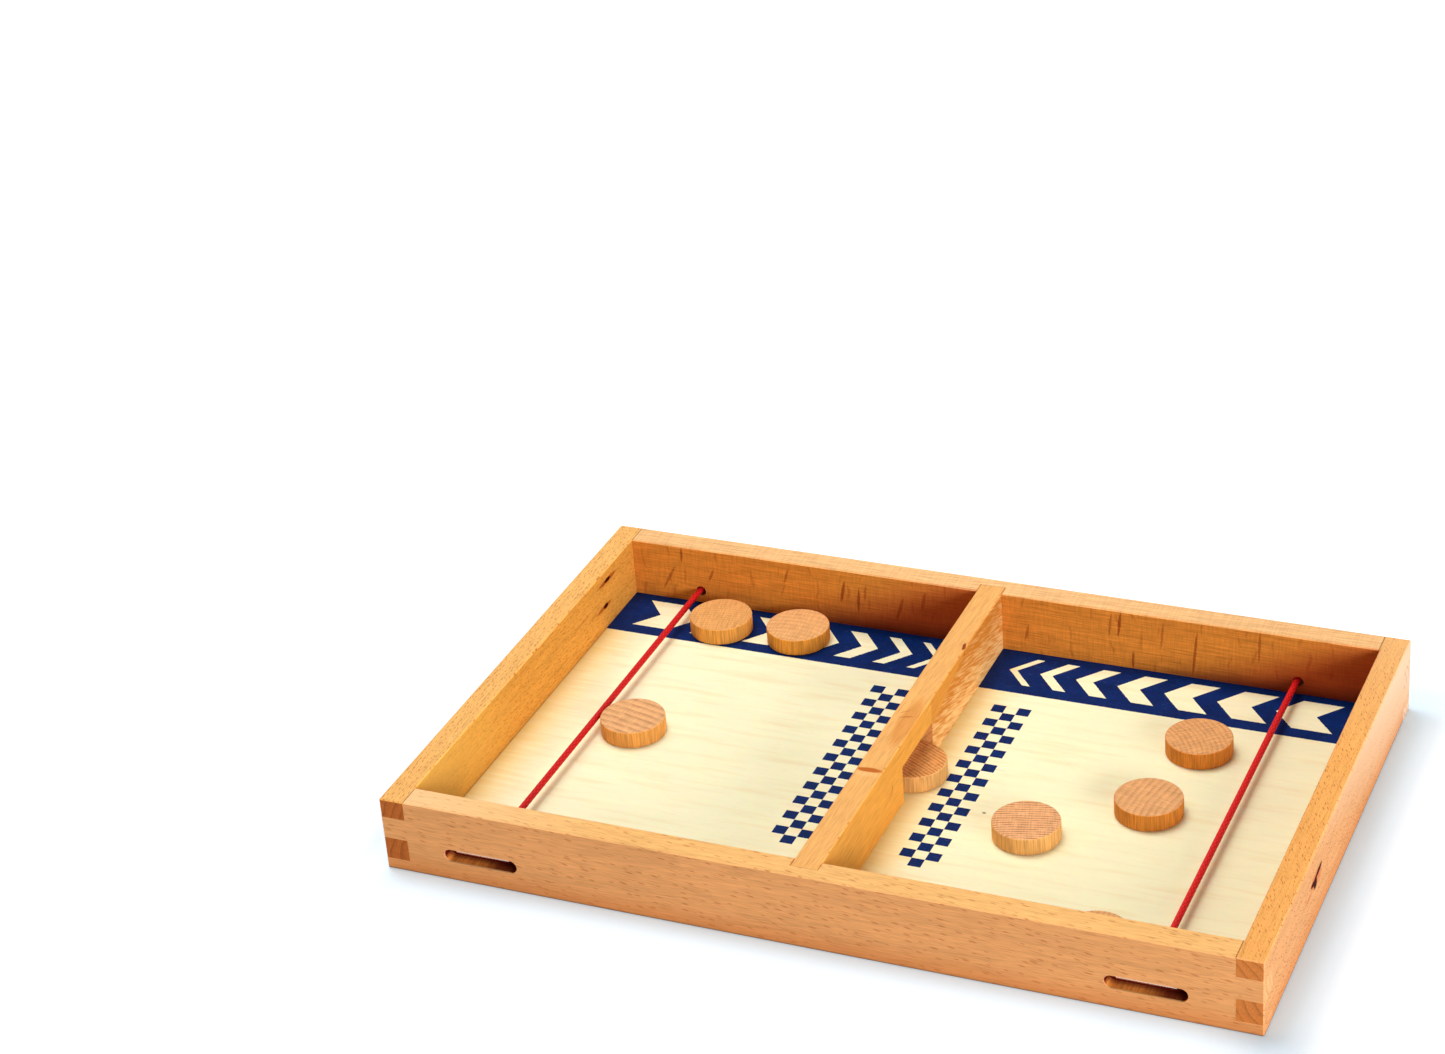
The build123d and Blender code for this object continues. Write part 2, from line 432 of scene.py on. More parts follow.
def painted_back_wall_shade(add, place, at, facing, colour):
    """Painted shade on the back rail's inner face: a reddish painted shadow of the divider and of the right rail, which
    rises slantwise from the floor towards the right end of each tray, and is darkest along the floor."""
    slope = -2.3
    slant = add("Math", at[Z], slope, at[X], operation="MULTIPLY_ADD")
    inner = add("MapRange", facing[Y], -0.8, -0.6, 1.0, 0.0)
    # Painted shade along the floor, deepest at the foot of the wall
    foot = add("MapRange", at[Z], 10.0, 4.8, 0.0, 0.58)
    for stain, rise, left_tray, right_tray, strength in (
        ("#B83C2C", "SMOOTHSTEP", (-95.0, -45.0), (41.0, 82.0), 0.7),
        ("#5A1C20", "LINEAR", (-80.0, -62.0), (30.0, 56.0), foot),
    ):
        left, right = [
            add("MapRange", slant, *tray, interpolation_type=rise) for tray in (left_tray, right_tray)
        ]
        left = kept_where(add, left, (at[X], 0.0, "LESS_THAN"))
        painted_shadow_share = add("Math", left, right, operation="MAXIMUM")
        # Paint the reddish shadow, then the darker shade along the floor, onto the inner face
        colour = stained(add, colour, linear(stain), painted_shadow_share, inner, strength)
    return colour


def routed_slots(add, place, at, facing, colour):
    """The insides of the elastics' slots and bores, painted nearly black as shade, but for the mouth of the shelf at
    the bottom, painted orange as light falling on it, with upright cutter strokes; that painted light fills the left
    half of each slot and fades towards its right end."""
    depth = add("Math", at[Y], operation="ABSOLUTE")
    level, left, right = [
        (edge(bar, LOW, axis) + edge(bar, HIGH, axis)) / 2
        for bar, axis in (("barb_left_front", Z), ("barb_left_front", X), ("barb_right_front", X))
    ]
    on_right = add("Math", at[X], 0.0, operation="GREATER_THAN")
    along = add("Math", on_right, left - right, at[X], operation="MULTIPLY_ADD")
    along = add("Math", along, left, operation="SUBTRACT")
    half_height, half_length = 2.2, 12.5
    inner_face, outer_face = edge("back_rail", LOW, Y), edge("back_rail", HIGH, Y)
    inside = within(add, depth, inner_face + 0.4, outer_face - 0.6, 0.25)
    in_height = within(add, at[Z], level - half_height, level + half_height, 0.2)
    in_length = within(add, along, -half_length, half_length, 0.2)
    # Painted light: the shelf's upward face near the mouth, strongest over the left half of each slot
    shelf = add("MapRange", facing[Z], 0.3, 0.8)
    mouth = add("MapRange", depth, outer_face - 3.4, outer_face - 1.8, 0.35, 1.0)
    strokes = add("MapRange", mottle(add, place, (0.6, 9, 9)), 0.35, 0.65, 0.6, 1.0)
    bright = add("MapRange", along, -0.5, 5.5, 1.0, 0.14)
    # Painted shade nearly black inside, with painted light on the shelf
    painted_slot_shade_and_light = stained(add, linear("#6A1814"), linear("#FFA04A"), shelf, mouth, strokes, bright)
    return stained(add, colour, painted_slot_shade_and_light, inside, in_height, in_length)


def marks(node, end, axis, depth, *rows):
    """Knots, checks and streaks on one face of a board, which is the node's LOW or HIGH end along an axis, and how deep
    they go. Each row is a mark's middle along the other two axes, its half sizes along them, its lean, its colour and
    its strength, in mm. The edges are ragged, as the fibres round a knot are."""

    def in_order(first, second, across):
        """Two values along the face and one across it, as x, y and z."""
        values = [first, second]
        values.insert(axis, across)
        return values

    def drawn(add, place, at, facing, colour):
        fray = mottle(add, place, (0.9, 0.9, 0.9), 3.0, (-0.13, 0.13))
        torn = add("VectorMath", place, add("CombineXYZ", fray, fray, fray))
        for one, other, half_one, half_other, lean, stain, strength in rows:
            centre = in_order(one, other, edge(node, end, axis))
            mark = spot(add, torn, centre, in_order(half_one, half_other, depth), in_order(0, 0, lean))
            colour = stained(add, colour, linear(stain), mark, strength)
        return colour

    return drawn


def torn_face(add, place, at, facing, colour):
    """The divider's right face behind the gate, where the planer tore the rising grain: browner above a line that
    climbs from the gate's corner to the top edge, and below it pale with brown streaks."""
    climb, height_at_middle = 0.267, 12.3
    below = add("Math", at[Y], climb, height_at_middle, operation="MULTIPLY_ADD")
    below = add("Math", below, at[Z], operation="SUBTRACT")
    below = add("Math", below, mottle(add, place, (3, 0.8, 0.8), 3.0, (-1.0, 1.0)))
    pale = add("MapRange", below, 0.0, 1.2)
    behind = add("MapRange", at[Y], 11.0, 11.8)
    right = looking(add, facing, X)
    colour = stained(add, colour, linear("#C4702A"), behind, right, 0.35)
    streaks = mottle(add, add("Mapping", place, None, (0.3, 0, 0)), (3.0, 6.5, 0.55), 3.0)
    light = add("MapRange", streaks, 0.34, 0.64)
    higher = add("MapRange", at[Z], 7.0, 19.0, -0.15, 0.45)
    light = add("Math", light, higher, operation="SUBTRACT", use_clamp=True)
    torn = stained(add, linear("#CE7C2E"), linear("#FCD492"), light)
    return stained(add, colour, torn, pale, behind, right, 0.8)


def turned_beech(name, top, side, centre, lines, pith, ring_step, ring_depth, ring_edge, ray_depth, grit):
    """A slice of beech dowel: matt end grain on the flat faces, with growth rings as long dark lines and rays crossing
    them, and long grain standing upright round the edge, in fine dark strokes. lines is the angle at which the rings
    run across the face; lengths are in mm from the puck's centre."""
    material, add = new_material(name)
    place = add("Mapping", add("TexCoord", out="Object"), None, None, IN_MM)
    facing = add("SeparateXYZ", add("TexCoord", out="Normal"), out=Z)
    disc = add("VectorMath", place, tuple(x / MM for x in centre), operation="SUBTRACT")
    disc = add("Mapping", disc, (0, pith, 0), (0, 0, -lines))
    ring = growth_rings(add, disc, (1, 1, 0), blot=(9, 9, 30), wander=1.3, step=ring_step)
    late = add("MapRange", ring, ring_edge, 0.86, interpolation_type="SMOOTHSTEP")
    next_ring = add("MapRange", ring, 0.9, 1.0, 1.0, 0.0)
    broken = add("MapRange", mottle(add, disc, (3.5, 1.2, 20)), 0.3, 0.6, 0.25, 1.0)
    pores = mottle(add, disc, (0.3, 0.3, 12))
    early = dimmed(add, top, 1.0 + ring_depth * 0.15)
    face = dimmed(
        add, stained(add, early, linear("#8E4824"), late, next_ring, broken, ring_depth),
        mottle(add, disc, (0.42, 6.0, 40), run=(1.0 - ray_depth, 1.0 + ray_depth * 0.7)),
        add("MapRange", pores, *MOST, 1.0 - grit, 1.0 + grit * 0.6),
        mottle(add, disc, (6, 6, 20), run=(0.94, 1.05)),
    )
    strokes = add("MapRange", mottle(add, disc, (0.45, 0.45, 7), 3.0), 0.32, 0.68, 0.68, 1.14)
    rim = dimmed(add, side, strokes, mottle(add, disc, (2.6, 2.6, 14), run=(0.92, 1.06)))
    level = add("Math", facing, operation="ABSOLUTE")
    colour = stained(add, rim, face, add("MapRange", level, 0.55, 0.9))
    # Lighter round the arris, a painted highlight
    arris = add("Math", add("Math", facing, 0.6, operation="SUBTRACT"), operation="ABSOLUTE")
    colour = dimmed(add, colour, add("MapRange", arris, 0.1, 0.38, 1.13, 1.0))
    bump = add("Bump", named={"Strength": 0.3, "Distance": 0.04 * MM, "Height": pores})
    add("OutputMaterial", add("BsdfPrincipled", named={
        "Base Color": colour, "Roughness": 0.62, "IOR": 1.5, "Specular IOR Level": 0.1, "Normal": bump,
    }))
    return material


def grid_surface(name, grid, start_pole, end_pole):
    """A closed skin over a grid of rings: ring i, point j joins its four neighbours, columns wrap round, and a fan of
    triangles closes each end on its pole."""
    points = np.concatenate([grid.reshape(-1, 3), [start_pole, end_pole]])
    here = np.arange(grid[..., 0].size).reshape(grid.shape[:2])
    after = np.roll(here, -1, axis=1)
    quads = np.stack([here[:-1], after[:-1], after[1:], here[1:]], -1)
    first_fan = np.stack([after[0], here[0], np.full_like(here[0], here.size)], -1)
    last_fan = np.stack([here[-1], after[-1], np.full_like(here[0], here.size + 1)], -1)
    mesh = bpy.data.meshes.new(name)
    faces = quads.reshape(-1, 4).tolist() + first_fan.tolist() + last_fan.tolist()
    mesh.from_pydata(points.tolist(), [], faces, shade_flat=False)
    mesh.update()
    return new_object(name, mesh)


def puck_surface(name, low, high, arris, segments):
    """A turned disc between two corners. Radius and height follow a quarter outline, flat and then a quarter round of
    the arris, which comes back upside down for the upper edge, and the outline is carried once round the upright
    axis."""
    centre = (low + high) / 2
    inner = (high.x - low.x) / 2 - arris
    arris_points = 7
    bend = np.linspace(0, math.pi / 2, arris_points)
    out = np.concatenate([[inner * 0.5, inner - arris], inner + arris * np.sin(bend)])
    rise = np.concatenate([[0, 0], arris * (1 - np.cos(bend))])
    out = np.concatenate([out, out[::-1]])[:, None]
    up = np.concatenate([low.z + rise, high.z - rise[::-1]])[:, None]
    angle = np.linspace(0, 2 * math.pi, segments, endpoint=False)
    grid = np.stack(np.broadcast_arrays(centre.x + out * np.cos(angle), centre.y + out * np.sin(angle), up), -1)
    return grid_surface(name, grid, (centre.x, centre.y, low.z), (centre.x, centre.y, high.z))


def taut_route(points):
    """The line of a taut cord through its points: a smooth spline of order 3 that reaches both ends, read back as the
    points that it draws."""
    curve = bpy.data.curves.new("route", "CURVE")
    curve.dimensions = "3D"
    line = curve.splines.new("NURBS")
    line.points.add(len(points) - 1)
    line.points.foreach_set("co", np.column_stack([points, np.ones(len(points))]).ravel())
    line.order_u = 3
    line.use_endpoint_u = True
    carrier = new_object("route", curve)
    drawn = bpy.data.meshes.new_from_object(carrier)
    route = np.zeros(len(drawn.vertices) * 3)
    drawn.vertices.foreach_get("co", route)
    bpy.data.objects.remove(carrier)
    bpy.data.curves.remove(curve)
    bpy.data.meshes.remove(drawn)
    return route.reshape(-1, 3)


def braided_cord(name, route, braid):
    """A braided tube along a straight route parallel to Y. Two families of yarns wind opposite ways: the angle plus and
    minus the length give each point its place across two crossing yarns, the cell's parity says which lies on top, and
    the radius rises by the relief over its crown. The last stretch past the middle is drawn in to slip inside its
    twin."""
    way = math.copysign(1, route[-1][1] - route[0][1])
    length = abs(route[-1][1] - route[0][1])
    per_yarn, drawn_in, tip_share, tip_round, slip = 6, 0.1, 0.04, 0.5 * MM, 0.4 * MM
    along = np.linspace(0, length, int(length / braid.yarn_step * per_yarn))[:, None]
    angle = np.linspace(0, 2 * math.pi, braid.yarns * per_yarn, endpoint=False)[None, :]
    turned, travelled = angle * braid.yarns / (2 * math.pi), along / braid.yarn_step / 2
    one, other = turned + travelled, turned - travelled
    over = (np.floor(one) + np.floor(other)) % 2 == 0
    one, other = np.sin(np.pi * (one % 1)), np.sin(np.pi * (other % 1))
    crown = np.where(over, one, other) ** 0.6 * (0.55 + 0.45 * np.where(over, other, one))
    radius = braid.diameter / 2 - braid.relief * (1 - crown)
    lap = np.clip((along - (length - braid.middle_lap - 0.1 * MM)) / slip, 0, 1)
    radius = radius - drawn_in * braid.diameter / 2 * lap
    radius = radius * np.sqrt(np.clip(np.minimum(along, length - along) / tip_round, tip_share, 1))
    route_reach = np.abs(route[:, 1] - route[0, 1])
    x, y, z = [np.interp(along, route_reach, route[:, axis]) for axis in range(3)]
    grid = np.stack(np.broadcast_arrays(x + radius * np.cos(way * angle), y, z - radius * np.sin(way * angle)), -1)
    piece = grid_surface(name, grid, route[0], route[-1])
    height = piece.data.attributes.new("yarn_crown", "FLOAT", "POINT")
    height.data.foreach_set("value", np.concatenate([crown.ravel(), [0.5, 0.5]]).astype(np.float32))
    return piece


# The flecks of cut rays, each in the order that beech gives
LONG_FLECKS = ((4.6, 2.1), (1.25, 0.3), 0.6, 0.42, "#A84E1C")
HAIR_LINES = ((7.0, 0.9), (2.6, 0.09), 0.6, 0.45, "#A8561E")
STIPPLE = ((2.2, 1.1), (0.8, 0.17), 0.85, 0.62, "#A04E12")
# Two knots and the streaks in line with them, inside the left rail
LEFT_MARKS = marks(
    "left_rail", HIGH, X, 1.5,
    (55.9, 20.1, 9.0, 1.1, 0, "#A03008", 0.75),
    (55.9, 20.2, 3.0, 0.85, 0, "#380300", 1.0),
    (52.0, 11.9, 7.5, 1.1, 0, "#A03008", 0.7),
    (53.2, 11.9, 2.2, 1.15, 0, "#380300", 1.0),
    (44.0, 12.8, 3.4, 0.6, 0, "#A85A22", 0.45),
    (34.0, 15.0, 9.0, 0.35, 0.02, "#A85A22", 0.35),
    (18.0, 9.0, 8.0, 0.3, 0.02, "#A85A22", 0.3),
)
# One knot with red round it, outside the right rail
RIGHT_MARKS = marks(
    "right_rail", HIGH, X, 1.5,
    (-30.0, 14.2, 8.0, 3.2, -0.1, "#D9653A", 0.55),
    (-27.4, 15.3, 4.8, 1.3, 0.12, "#380300", 1.0),
    (-31.0, 13.4, 2.4, 2.9, 0.5, "#380300", 1.0),
    (-33.2, 14.4, 3.6, 1.1, -0.15, "#380300", 1.0),
    (-38.0, 12.6, 4.5, 0.8, 0, "#C2502A", 0.5),
)
# A saw's streak, a darker patch with two short checks over the gate, and a chip in the edge
DIVIDER_TOP_MARKS = marks(
    "centre_divider", HIGH, Z, 1.4,
    (0.0, -28.9, 5.4, 1.5, 0.03, "#BC5C1C", 0.88),
    (0.0, -31.2, 4.6, 1.5, 0.03, "#FFD59C", 0.22),
    (1.6, -2.0, 3.8, 18.0, 0, "#D27A24", 0.46),
    (0.4, 0.6, 3.2, 0.32, 0.35, "#A8480E", 0.6),
    (-1.0, 3.2, 2.2, 0.28, 0.7, "#A8480E", 0.5),
)
DIVIDER_EDGE_MARK = marks("centre_divider", HIGH, Z, 0.9, (3.4, 42.9, 0.8, 2.7, 0.12, "#8A2A0C", 0.9))
DIVIDER_SIDE_MARKS = marks(
    "centre_divider", HIGH, X, 1.5,
    (41.0, 22.6, 1.4, 0.8, 0.5, "#B9551E", 0.6),
    (-22.6, 13.6, 0.5, 2.6, -0.5, "#A8501A", 0.55),
    (-24.6, 12.6, 0.4, 2.0, -0.4, "#B4601F", 0.4),
)
STREAKS = (
    (-105.1, 20.9, 0.6, 3.6, 0.05, 0.55),
    (-110.0, 12.0, 0.7, 6.5, 0.48, 0.45),
    (-95.0, 14.9, 0.6, 3.0, 0.4, 0.5),
    (-68.6, 18.8, 0.6, 3.8, 0.3, 0.45),
    (-49.3, 16.2, 0.75, 5.2, 0.18, 0.65),
    (-44.0, 14.0, 0.65, 6.0, 0.06, 0.6),
    (-41.6, 17.0, 0.55, 4.0, 0.1, 0.4),
    (-30.0, 13.0, 0.8, 5.8, 0.3, 0.45),
    (-22.0, 17.0, 0.8, 4.5, 0.2, 0.4),
    (12.1, 11.6, 0.6, 4.0, 0.2, 0.45),
    (42.0, 19.3, 0.65, 5.8, 0.1, 0.65),
    (39.1, 18.8, 0.5, 5.5, 0.1, 0.45),
    (46.3, 7.4, 0.6, 4.0, 0.02, 0.6),
    (55.6, 17.6, 0.55, 6.2, 0.08, 0.42),
    (65.9, 12.9, 0.62, 10.2, 0.09, 0.6),
    (86.0, 18.6, 0.55, 7.0, 0.03, 0.48),
)
BACK_MARKS = marks("back_rail", LOW, Y, 1.5, *[(*row, "#7C1C06", strength) for *row, strength in STREAKS])
BOARDS = {
    "front_rail": dict(
        turned=False, lie=(math.pi / 2 + 0.25, 0, 0.03), pith=70, lean=0.16, rays=(LONG_FLECKS, HAIR_LINES),
        extras=(paler_tone_and_painted_light(Z, (-1, 0, 0), 60, 125, 0.4, "#FFDDB4"), orange_foot_and_painted_shadow, glue_lines, routed_slots),
    ),
    # The back rail carries painted shade on its inner face
    "back_rail": dict(
        turned=False, lie=(0.35, 0, -0.02), pith=55, rays=(HAIR_LINES,), curl=0.26,
        extras=(painted_back_wall_shade, glue_lines, routed_slots, BACK_MARKS),
    ),
    "left_rail": dict(
        turned=True, lie=(0.5, 0, 0.02), pith=60, lean=0.05, rays=(STIPPLE, HAIR_LINES),
        # Painted light on the inner face, growing towards its front end
        extras=(paler_tone_and_painted_light(X, (0, -1, 0), 10, 60, 0.55, "#FFC860"), LEFT_MARKS),
    ),
    "right_rail": dict(
        turned=True, lie=(0.12, 0, 0.02), pith=80, lean=0.42,
        rays=(((2.6, 1.3), (0.85, 0.15), 0.6, 0.7, "#9A4A10"), ((1.3, 0.8), (0.5, 0.13), 0.8, 0.38, "#A5581A")),
        extras=(
            # The first paling is a painted highlight towards the back and top of the outer face; the second is the
            # top's tone towards the back
            paler_tone_and_painted_light(X, (0, 1, 3), 35, 130, 0.8, "#FFDDBC"), paler_tone_and_painted_light(Z, (0, 1, 0), 20, 84, 0.22, "#FFE0B0"),
            orange_foot_and_painted_shadow, RIGHT_MARKS,
        ),
    ),
    "centre_divider": dict(
        turned=True, lie=(0.9, 0, 0.03), pith=65, lean=-0.1, rays=(HAIR_LINES,),
        extras=(torn_face, DIVIDER_TOP_MARKS, DIVIDER_EDGE_MARK, DIVIDER_SIDE_MARKS),
    ),
}


class PUCKGAME_OT_frame_timber(bpy.types.Operator):
    """Give the four rails and the divider their beech, each board with its own tone and grain"""

    bl_idname = "puckgame.frame_timber"
    bl_label = "Frame timber"

    def execute(self, context):
        timber = context.scene.puckgame_timber
        for name, board in BOARDS.items():
            tones = [getattr(timber, f"{name}_{face}") for face in FACES]
            give(frame["nodes"][name], beech("beech_" + name, *tones, **board))
        return {"FINISHED"}


class PUCKGAME_OT_printed_floor(bpy.types.Operator):
    """Give the floor its birch face and the navy screen print"""

    bl_idname = "puckgame.printed_floor"
    bl_label = "Printed floor"

    def execute(self, context):
        give(frame["nodes"]["floor_panel"], printed_birch(context.scene.puckgame_print))
        return {"FINISHED"}


def printed_birch(sizes):
    """Birch ply with a clear sealer and one pass of screen ink: almost white yellow, faint wavy figure, few specks,
    painted shade in warm streaks along the left rail and the divider, and a flat satin navy that covers the grain but
    for its pores."""
    material, add = new_material("screen_printed_birch_ply")
    flat = add("Mapping", add("TexCoord", out="Object"), None, None, IN_MM)
    x, y, _ = add("SeparateXYZ", flat).node.outputs
    reach_x = add("Math", x, operation="ABSOLUTE")
    reach_y = add("Math", y, operation="ABSOLUTE")
    fibre = mottle(add, flat, (7, 0.5, 0.5), 3.0)
    pores = spindles(add, flat, (5.5, 2.2), (0.9, 0.1), 0.5)
    figure = mottle(add, flat, (38, 9, 9), 3.0, (0.955, 1.02))
    wood = dimmed(add, sizes.birch, figure, add("MapRange", fibre, *MOST, 0.985, 1.01))
    grain = mottle(add, flat, (26, 2.6, 5), 4.0)
    wood = stained(add, wood, linear("#EBC27C"), add("MapRange", grain, 0.5, 0.75, 0.0, 0.28))
    wood = stained(add, wood, linear("#C9974F"), pores, 0.16)
    wood = stained(add, wood, linear("#F8DFA8"), add("MapRange", x, -40.0, 60.0, 0.0, 0.16))
    wall_x = edge("right_rail", LOW, X)
    wall_y = edge("back_rail", LOW, Y)
    # Painted shade: warm darker streaks on the floor along the left rail and beside the divider
    streaky = mottle(add, flat, (14, 1.6, 4), 3.0, (-2.0, 2.0))
    near_wall = add("Math", streaky, x, operation="SUBTRACT")
    near_wall = add("MapRange", near_wall, wall_x - 13, wall_x)
    near_divider = add("Math", reach_x, streaky)
    near_divider = add("MapRange", near_divider, edge("centre_divider", HIGH, X), 18.0, 0.85, 0.0)
    painted_wall_shade = add("Math", near_wall, near_divider, operation="MAXIMUM")
    wood = stained(add, wood, linear("#F0BC18"), painted_wall_shade, 0.58)
    wood = stained(add, wood, linear("#8A4A12"), add("MapRange", reach_x, wall_x - 0.45, wall_x - 0.15, 0.0, 0.6))
    for centre, half_size, stain, strength in (
        ((28.3, -12.7, 4.3), (0.8, 0.6, 1.0), "#5A3A1E", 0.75),
        ((25.4, 10.0, 4.3), (2.5, 0.5, 1.0), "#7A4A22", 0.12),
    ):
        wood = stained(add, wood, linear(stain), spot(add, flat, centre, half_size), strength)

    # The print: a navy band along each long rail with pale chevrons left out of it, mirrored about the middle
    edge_bleed = add("MapRange", mottle(add, flat, (0.5, 0.5, 0.5), 1.0), 0.0, 1.0, -0.12, 0.12)
    band_shift, check_shift, check_start, check_rows, check_columns = 1.1, 1.6, 12.0, 3.0, 22.0
    from_middle = add("Math", add("Math", x, band_shift), operation="ABSOLUTE")
    from_middle = add("Math", from_middle, edge_bleed)
    off_axis = add("Math", reach_y, edge_bleed)
    arm_height = sizes.chevron_half_height / MM
    beside = add("Math", off_axis, wall_y - sizes.chevron_centre / MM, operation="SUBTRACT")
    beside = add("Math", beside, operation="ABSOLUTE")
    lean = add("Math", beside, -sizes.chevron_lean / MM / arm_height, from_middle, operation="MULTIPLY_ADD")
    # Tip k stands at first + step k + growth k k mm from the print's middle, so k comes from the quadratic's root
    first, step, growth = 11.1, 9.075, 0.825
    under_root = add("Math", lean, 4 * growth, step ** 2 - 4 * growth * first, operation="MULTIPLY_ADD")
    root = add("Math", add("Math", under_root, 0.0, operation="MAXIMUM"), operation="SQRT")
    k = add("Math", root, 1 / (2 * growth), -step / (2 * growth), operation="MULTIPLY_ADD")
    k = add("Math", k, operation="FLOOR")
    tip = add("Math", k, growth, step, operation="MULTIPLY_ADD")
    tip = add("Math", tip, k, first, operation="MULTIPLY_ADD")
    width = add("Math", k, 0.04, 1.42, operation="MULTIPLY_ADD")
    width = add("Math", width, k, 2.5, operation="MULTIPLY_ADD")
    chevron = kept_where(
        add, 1.0, (add("Math", lean, tip, operation="SUBTRACT"), width, "LESS_THAN"),
        (k, -0.5, "GREATER_THAN"), (k, 6.5, "LESS_THAN"), (beside, arm_height, "LESS_THAN"),
    )
    band = add("Math", off_axis, wall_y - sizes.band_width / MM, operation="GREATER_THAN")
    band = add("Math", band, chevron, operation="SUBTRACT", use_clamp=True)
    # A plain racing check of three rows runs along the divider in each tray
    square = sizes.check_square / MM
    inward = add("Math", add("Math", x, check_shift), operation="ABSOLUTE")
    row = add("Math", inward, 1 / square, -(check_start + check_shift) / square, operation="MULTIPLY_ADD")
    column = add("Math", y, 1 / square, check_columns / 2, operation="MULTIPLY_ADD")
    parity = add("Math", add("Math", row, operation="FLOOR"), add("Math", column, operation="FLOOR"))
    parity = add("Math", parity, 2.0, operation="FLOORED_MODULO")
    check = kept_where(
        add, 1.0, (parity, 0.5, "GREATER_THAN"), (row, 0.0, "GREATER_THAN"), (row, check_rows, "LESS_THAN"),
        (column, 0.0, "GREATER_THAN"), (column, check_columns, "LESS_THAN"),
    )
    mask = add("Math", band, check, operation="MAXIMUM")
    up = add("SeparateXYZ", add("TexCoord", out="Normal"), out=Z)
    mask = add("Math", mask, add("MapRange", up, 0.5, 0.9), operation="MULTIPLY")
    speckle = add("MapRange", mottle(add, flat, (0.6, 0.35, 1)), 0.35, 0.7, 0.8, 1.35)
    ink = dimmed(add, sizes.ink, speckle, mottle(add, flat, (7, 5, 5), run=(0.82, 1.22)))
    colour = stained(add, wood, ink, mask, add("MapRange", pores, 0.0, 1.0, 1.0, 0.96))
    height = add("Math", mask, add("MapRange", fibre, *MOST, 0.0, 0.5))
    bump = add("Bump", named={"Strength": 0.3, "Distance": 0.02 * MM, "Height": height})
    add("OutputMaterial", add("BsdfPrincipled", named={
        "Base Color": colour, "Roughness": add("MapRange", mask, 0.0, 1.0, 0.52, 0.5), "IOR": 1.5,
        "Specular IOR Level": 0.05, "Normal": bump,
        "Subsurface Weight": 0.3, "Subsurface Radius": (3.0, 1.2, 0.4), "Subsurface Scale": MM,
    }))
    return material


# For each puck: the colours of its face and its rim, its rings' angle, pith, step, depth and where in a step their dark
# part starts, and the depth of its rays and its pores
SLICES = [
    ("#E8B07A", "#EDA554", -0.22, 90, 2.75, 0.46, 0.2, 0.14, 0.14),
    ("#E5A663", "#E8A04A", 0.15, 45, 1.3, 0.2, 0.35, 0.2, 0.2),
    ("#EBAF72", "#EE9F40", 0.0, 28, 2.2, 0.22, 0.3, 0.16, 0.2),
    ("#E8A560", "#E0AA66", -0.45, 60, 1.15, 0.7, 0.3, 0.22, 0.26),
    ("#E6A66B", "#DE8A36", -0.93, 30, 1.5, 0.3, 0.2, 0.22, 0.2),
    ("#E6AA72", "#E08F3A", 1.41, 80, 2.0, 0.32, 0.2, 0.14, 0.14),
    ("#E6AC79", "#F2B86E", 0.26, 90, 1.12, 0.75, 0.4, 0.16, 0.12),
    ("#E8AD72", "#DB9C50", 1.7, 50, 1.6, 0.3, 0.4, 0.14, 0.12),
]


class PUCKGAME_OT_pucks(bpy.types.Operator):
    """Turn the eight beech pucks, each a slice with its own rings"""

    bl_idname = "puckgame.pucks"
    bl_label = "Pucks"

    def execute(self, context):
        sizes = context.scene.puckgame_turning
        for number, (top, side, *grain) in enumerate(SLICES, 1):
            node = f"puck_{number}"
            low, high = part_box(node)
            puck = puck_surface("turned_" + node, low, high, sizes.arris, sizes.segments)
            wood = turned_beech("beech_end_grain_" + node, linear(top), linear(side), (low + high) / 2, *grain)
            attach(puck, node)
            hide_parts(node)
            give(puck, wood)
        return {"FINISHED"}


def braided_yarn(red):
    """Braid of bright polyester yarn over a rubber core: strong red, silky along the yarns, darker in the gaps as
    painted shade, and duller on the left elastic."""
    material, add = new_material("red_braided_elastic")
    # Painted shade: the yarn darker in the gaps between crowns
    depth = add("MapRange", add("Attribute", out="Fac", attribute_name="yarn_crown"), 0.1, 0.9, 0.45, 1.08)
    duller = add("MapRange", add("SeparateXYZ", add("TexCoord", out="Object")), -0.05, 0.05, 0.78, 1.0)
    colour = dimmed(add, red, depth, duller)
    add("OutputMaterial", add("BsdfPrincipled", named={
        "Base Color": colour, "Roughness": 0.5, "IOR": 1.5, "Specular IOR Level": 0.15,
    }))
    return material


class PUCKGAME_OT_elastics(bpy.types.Operator):
    """Braid the two elastics, each as two straight halves that run from the rail to just past the middle"""

    bl_idname = "puckgame.elastics"
    bl_label = "Elastics"

    def execute(self, context):
        braid = context.scene.puckgame_braid
        yarn = braided_yarn(braid.red)
        for side, end in CORNERS:
            body = f"elastic_{side}_{end}"
            fixed = f"elastic_end_{side}_{end}"
            outer, inner, outward = (LOW, HIGH, -1) if end == "front" else (HIGH, LOW, 1)
            x, _, z = (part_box(body)[LOW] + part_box(body)[HIGH]) / 2
            start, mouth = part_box(fixed)[outer].y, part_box(fixed)[inner].y
            stop = -outward * braid.middle_lap
            route = taut_route([(x, y, z) for y in (start, mouth, (mouth + stop) / 2, stop)])
            cord = braided_cord("braided_" + body, route, braid)
            give(cord, yarn)
            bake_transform(cord)
            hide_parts(body, fixed)
        return {"FINISHED"}


